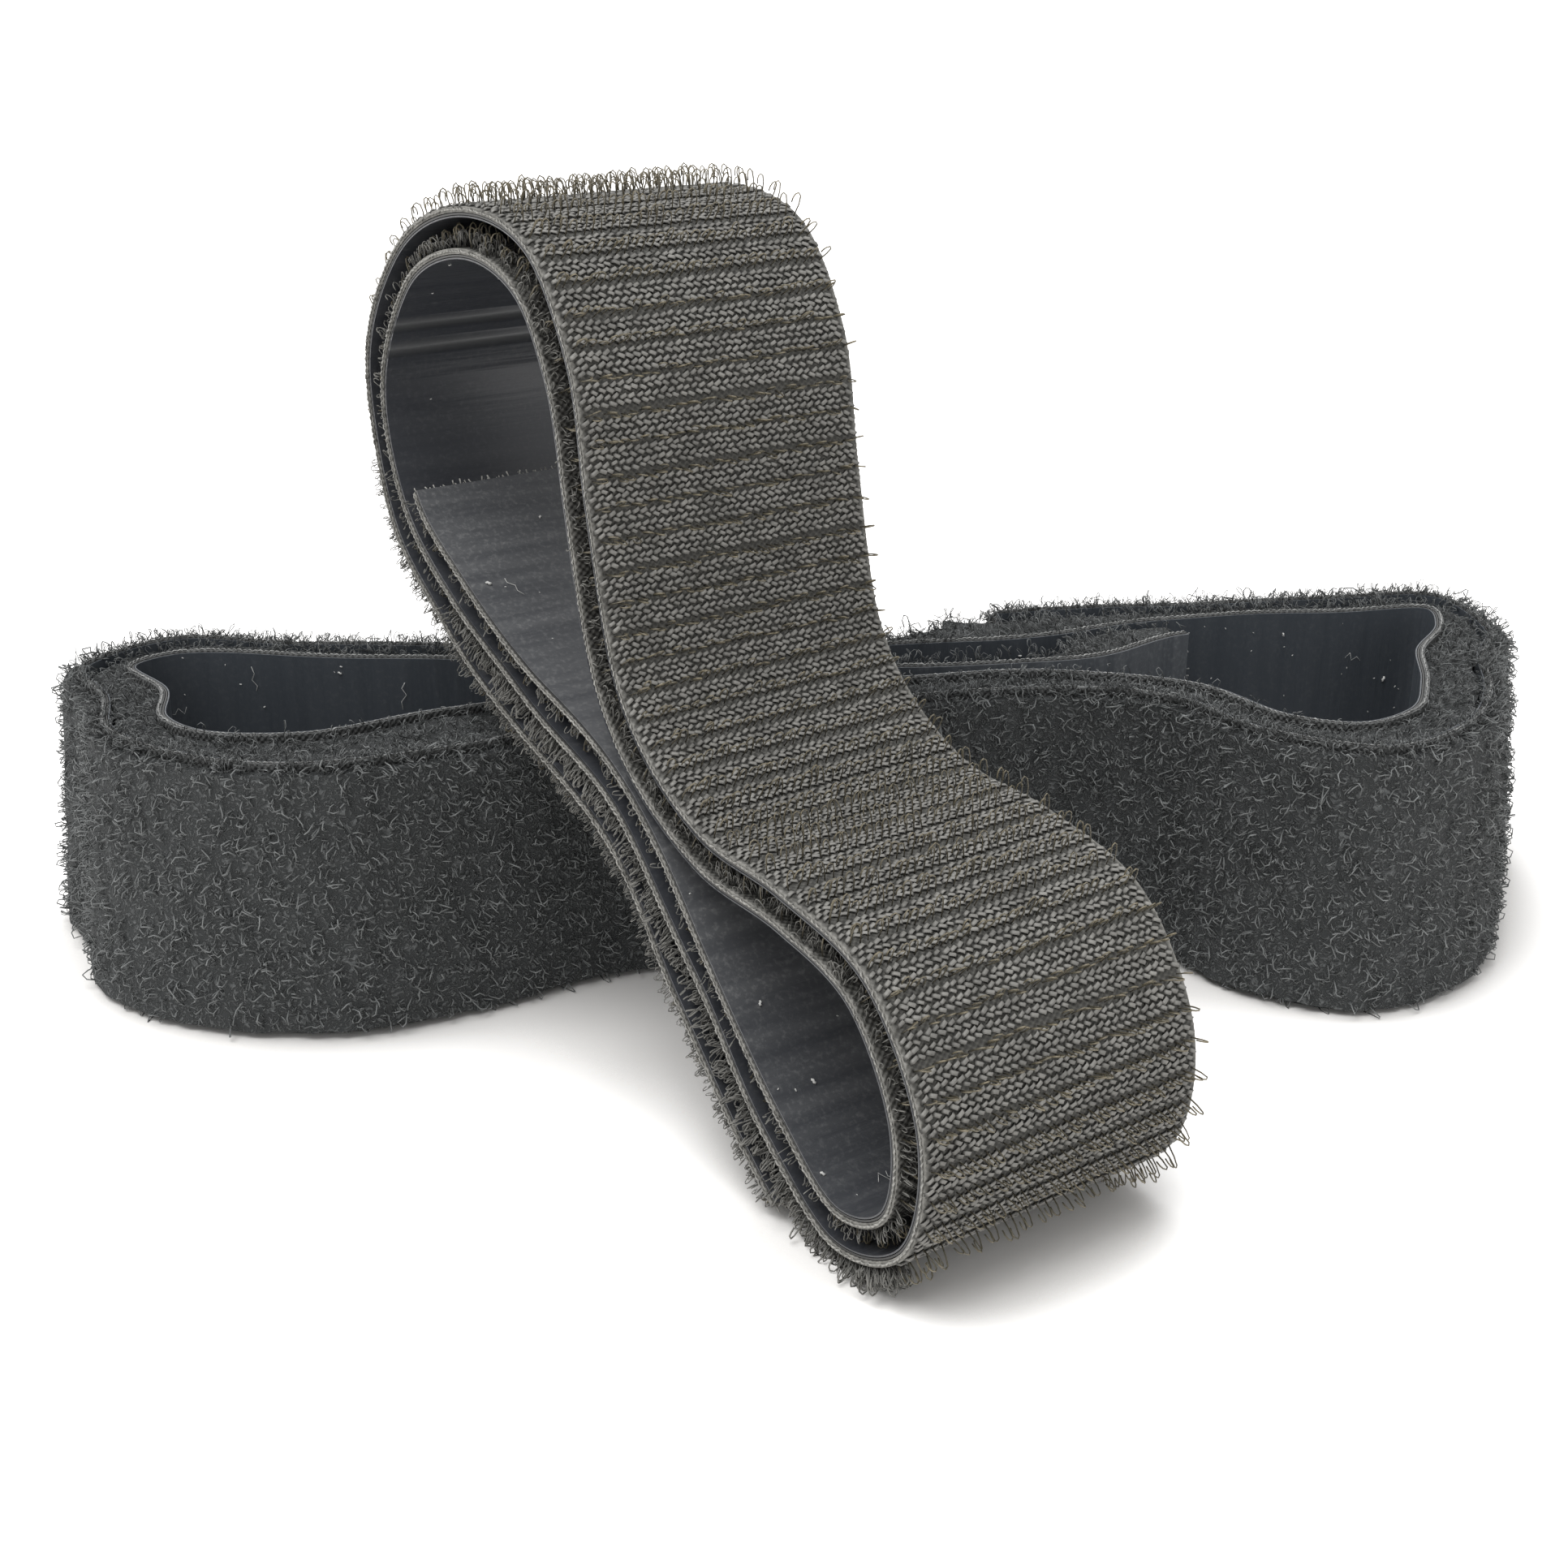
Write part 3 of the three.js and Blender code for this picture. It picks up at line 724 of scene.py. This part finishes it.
# Hook tape's ground
# The same narrow weave, wound tighter on itself with a large head and a small foot.
# It leans back on the loop roll, and its outer end has slid a little sideways.
hook_lean, hook_yaw = 37.5, 28.9
hook_slide, hook_slide_run = 0.4, 95
hook_tape = wind_tape(
    lap=((0.785, 1, 0), (0.582, 0.98, 0), (0.329, 0.64, 0), (0, 0.03, 0), (-0.386, 0.457, 0),
         (-0.707, 1, 0), (-0.926, 0.63, 0), (-1, -0.263, 0), (-0.9, -0.788, 0), (-0.691, -1, 0),
         (-0.466, -0.727, 0), (-0.241, -0.283, 0), (0, -1.59 / 10.3, 0), (0.177, -0.187, 0.22),
         (0.392, -0.574, 0.67), (0.565, -0.897, 1), (0.699, -1, 0.89), (0.871, -0.813, 0.33),
         (1, -0.361, 0), (0.987, 0.469, 0)),
    plus=(37.5, 16, 6.4), minus=(31.1, 10.3, 2.4), pitch=2.27, slack=0.9, end=45.4)
slid = np.clip((hook_tape["run"] - hook_tape["length"] + hook_slide_run) / hook_slide_run, 0, 1)
hook_tape["slide"] = hook_slide * slid * slid * (3 - 2 * slid)
hook_tape["turn"] = np.array(
    Matrix.Rotation(math.radians(hook_yaw - 90), 3, "Z") @ Matrix.Rotation(math.pi / 2, 3, "X")
    @ Matrix.Rotation(math.radians(180 - hook_lean), 3, "Z"))
seat(hook_tape, "hook_ground")
hook_ground = strip("hook_weave", hook_tape, -ground_face, ground_face, 0, rims=(0.0, 0.3, 0.7))
# Its first colour is the painted shade in the weave's hollows.
hook_ground.data.materials.append(
    woven("hook_nylon", (0.035, 0.034, 0.031), (0.1, 0.098, 0.088), (0.3, 0.294, 0.272), 0.7))
hook_thread = fibre_paint("hook_thread", (0.2, 0.197, 0.184), (0.54, 0.53, 0.495), 0.65)
hook_turns = weft_turns("hook_weft_turns", hook_tape, hook_thread)
hook_ends = frayed_ends("hook_frayed_ends", hook_tape, hook_thread)
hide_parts("hook_ground")
for piece in (hook_ground, hook_turns, hook_ends):
    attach(piece, "hook_roll")

# Hook tape's adhesive and liner
# The same film of adhesive and dark release film as on the loop tape, on the inside of every lap.
# The liner of the first lap lies open to the light inside the roll. Most of the dust is there, and
# two folds cross it at the head, each with a painted highlight along it.
hook_adhesive = strip("hook_film", hook_tape, film_low, film_high, film_margin, between=1)
hook_adhesive.data.materials.append(adhesive)
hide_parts("hook_adhesive")
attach(hook_adhesive, "hook_roll")
hook_liner = strip("hook_release", hook_tape, liner_low, liner_high, film_margin, between=1)
hook_liner.data.materials.append(
    release_film("hook_liner_film", (0.03, 0.033, 0.041), (0.21, 0.213, 0.214), 70, (152.6, 154.8)))
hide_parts("hook_liner")
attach(hook_liner, "hook_roll")
hook_lint = lint("hook_lint", hook_tape, 6,
                 [(9.2, 18.6), (51.5, 17.0), (57.0, 19.4), (30.0, 15.0), (4.0, 12.0), (46.0, 18.0)],
                 [(10.0, 17.0), (59.0, 15.8), (59.4, 15.6), (36.0, 17.5)],
                 ((2, 75, 30), (120, 165, 8)))
for piece in hook_lint:
    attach(piece, "hook_roll")

# Hook tape's hooks
# Coarse weft threads ride over the warp as small beads, four rows to a band. In the groove after
# each band stands a row of hooks of nylon monofilament, woven in, heat-set and cut on one side.
# Inside the winding they show only along the edges, with a low nap along the near one.
hook_height = 1.4
hook_pitch, bead_pitch = 0.62, 0.56
bead_places = (0.0, 0.39, 0.78, 1.17)
hook_places = (1.54,)
row_group = 1.9
row_wander, spot_wander = 0.13, 0.06
last_hook_lap = 172
hook_lap = hook_tape["length"] - last_hook_lap
gap_run, tail_run = 58, 62
hook_line = np.array([(0, 0, -0.05), (-0.02, 0, 0.75), (0.06, 0, 1.24), (0.25, 0, 1.4),
                      (0.41, 0, 1.28), (0.47, 0, 1.05), (0.45, 0, 0.75)])
hook_kinds = kinds("hook", [tube(hook_line * (wide, 1, tall), 0.05, 3)
                            for wide, tall in ((1, 1), (0.85, 1.05), (1.15, 0.95), (1.0, 0.9))],
                   hook_height)
bead_line = [(-0.31, 0, -0.07), (-0.14, 0, 0.09), (0.14, 0, 0.09), (0.31, 0, -0.07)]
bead_kinds = kinds("bead", [tube(bead_line, 0.135, 3)], 0.225)
hook_paint = fibre_paint("hook_filament", (0.12, 0.11, 0.082), (0.42, 0.365, 0.25), 0.35)
hook_paint.node_tree.nodes["Principled BSDF"].inputs["Transmission Weight"].default_value = 0.5
bead_paint = fibre_paint("bead_nylon", (0.08, 0.078, 0.072), (0.48, 0.47, 0.44), 0.6, 0.2)
nap_paint = fibre_paint("hook_nap", (0.06, 0.059, 0.054), (0.27, 0.265, 0.245), 0.6)
row_starts = np.arange(0.4, hook_tape["length"] - row_group, row_group)
row_starts = row_starts + np.random.default_rng(4).uniform(-row_wander, row_wander, len(row_starts))


def rows(places, pitch, seed, deep):
    """Places in rows across the hook tape: length run, place across and which way each faces."""
    chance = np.random.default_rng(seed)
    found = []
    for group in row_starts:
        for k, place in enumerate(places):
            side = np.arange(0.35 + k % 2 * pitch / 2, tape_width - 0.3, pitch)
            if group < hook_lap:
                side = side[np.abs(side - tape_width / 2) > tape_width / 2 - deep]
            way = np.where(side > tape_width - 1, -1.0, 1.0 - 2.0 * (k % 2))
            way = np.where(side < 1, 1.0, way)
            found.append(np.stack([np.full(len(side), group + place), side, way], 1))
    found = np.concatenate(found)
    found[:, :2] += chance.uniform(-spot_wander, spot_wander, (len(found), 2))
    return found


for name, places, pitch, shapes, paint, deep, lean, slant in (
        ("hook_beads", bead_places, bead_pitch, bead_kinds, bead_paint, 0.0, 0.1, 0.5),
        ("hook_field", hook_places, hook_pitch, hook_kinds, hook_paint, 2.4, 0.22, 0.15)):
    for i, part in enumerate(np.array_split(rows(places, pitch, len(name), deep), 2)):
        run, side, way = part[:, 0], part[:, 1], part[:, 2:]
        facing = crosswise(hook_tape, run) * way + slant * onwards(hook_tape, run)
        spots = spots_on(f"{name}_spots_{i}", hook_tape, run, ground_face, side,
                         outwards(hook_tape, run), facing)
        piece = grown(f"{name}_{i + 1}", spots, stand_on, kinds=shapes, seed=40 + i, tilt=lean,
                      least_size=0.88, most_size=1.12, material=paint)
        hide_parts("hook_field")
        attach(piece, "hook_roll")
nap_chance = np.random.default_rng(2)
for name, start, stop, count, splay, least, most in (
        ("hook_inner_nap", 0.2, hook_lap - gap_run, 1500, 0.0, 0.5, 0.85),
        ("hook_gap_nap", hook_lap - gap_run, hook_lap, 1700, 0.15, 0.7, 1.25),
        ("hook_tail_nap", hook_tape["length"] - tail_run, hook_tape["length"] - 0.2, 1500, 0.55,
         0.4, 0.7)):
    run = nap_chance.uniform(start, stop, count)
    side = tape_width - nap_chance.uniform(0.05, 1.2, count)
    stray = nap_chance.normal(0, 1, (count, 3))
    up = outwards(hook_tape, run) + splay * crosswise(hook_tape, run) + 0.25 * stray
    spots = spots_on(name + "_spots", hook_tape, run, ground_face, side, up, stray)
    piece = grown(name, spots, stand_on, kinds=hook_kinds, seed=50, tilt=0.3,
                  least_size=least, most_size=most, material=nap_paint)
    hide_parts("hook_field")
    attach(piece, "hook_roll")

bpy.context.scene.view_settings.view_transform = "Standard"
